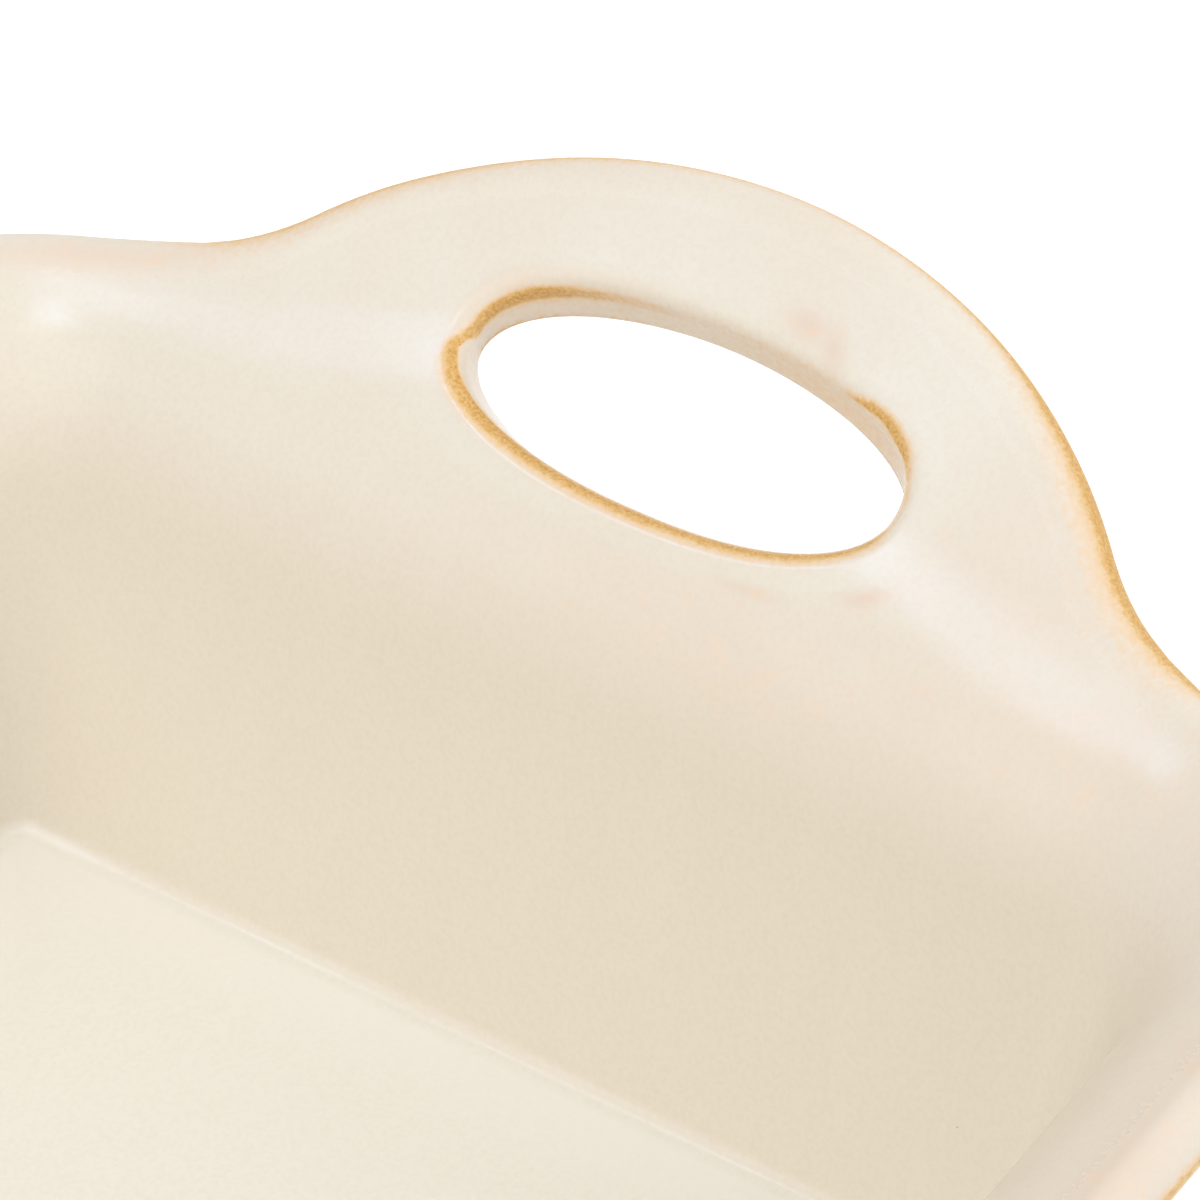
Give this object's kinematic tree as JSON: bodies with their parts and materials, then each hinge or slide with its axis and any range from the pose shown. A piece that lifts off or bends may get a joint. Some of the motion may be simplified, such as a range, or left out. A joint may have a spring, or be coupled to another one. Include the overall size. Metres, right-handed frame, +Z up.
{
  "type": "square baking dish",
  "caption": "Square glazed stoneware baking dish with flaring walls, a looped handle rising from the rim at each end and an unglazed foot ring, for baking and serving food.",
  "frame": {"origin": "centre of the foot ring's underside, on the surface the dish stands on", "axes": "+X towards the handle in the picture, +Y along the plain wall's side, +Z up"},
  "size_m": [0.2854, 0.224, 0.1003],
  "materials": {
    "glazed_stoneware": "satin",
    "bare_stoneware": "matte"
  },
  "bodies": {
    "root": {"floor_slab": "glazed_stoneware", "foot_ring": "bare_stoneware", "wall_right": "glazed_stoneware", "wall_back": "glazed_stoneware", "wall_left": "glazed_stoneware", "wall_front": "glazed_stoneware", "handle_right": "glazed_stoneware", "handle_left": "glazed_stoneware"}
  },
  "joints": []
}
